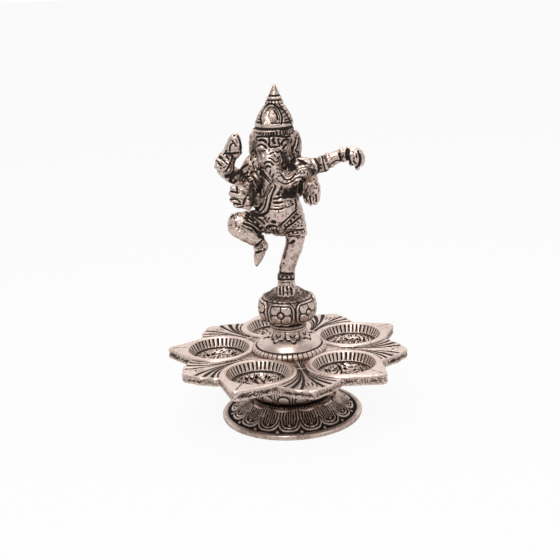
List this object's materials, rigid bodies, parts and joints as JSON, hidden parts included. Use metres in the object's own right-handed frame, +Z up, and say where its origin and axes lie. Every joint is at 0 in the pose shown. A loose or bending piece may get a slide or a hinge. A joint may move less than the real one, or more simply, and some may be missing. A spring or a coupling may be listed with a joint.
{
  "type": "aarti lamp",
  "caption": "Table-top oil lamp for aarti: a dancing elephant-headed figure on a lotus globe above a petal-shaped tray of oil wells on a lotus foot.",
  "frame": {"origin": "middle of the ring that the foot rests on, at table height", "axes": "+Z up along the lamp's stem; the figure faces -Y; +X is to the viewer's right"},
  "size_m": [0.1091, 0.1086, 0.1526],
  "materials": {
    "antique_silver": "cast white metal with an antique silver finish, worn bright on the high spots and dark in the recesses",
    "plated_steel": "zinc-plated steel fasteners"
  },
  "bodies": {
    "root": {"foot": "antique_silver", "stem_lotus": "antique_silver", "diya_tray": "antique_silver", "dome_collar": "antique_silver", "neck_ring": "antique_silver", "lotus_globe": "antique_silver", "figure": "antique_silver", "tie_rod": "plated_steel", "flat_washer": "plated_steel", "lock_washer": "plated_steel", "hex_nut": "plated_steel"}
  },
  "joints": []
}
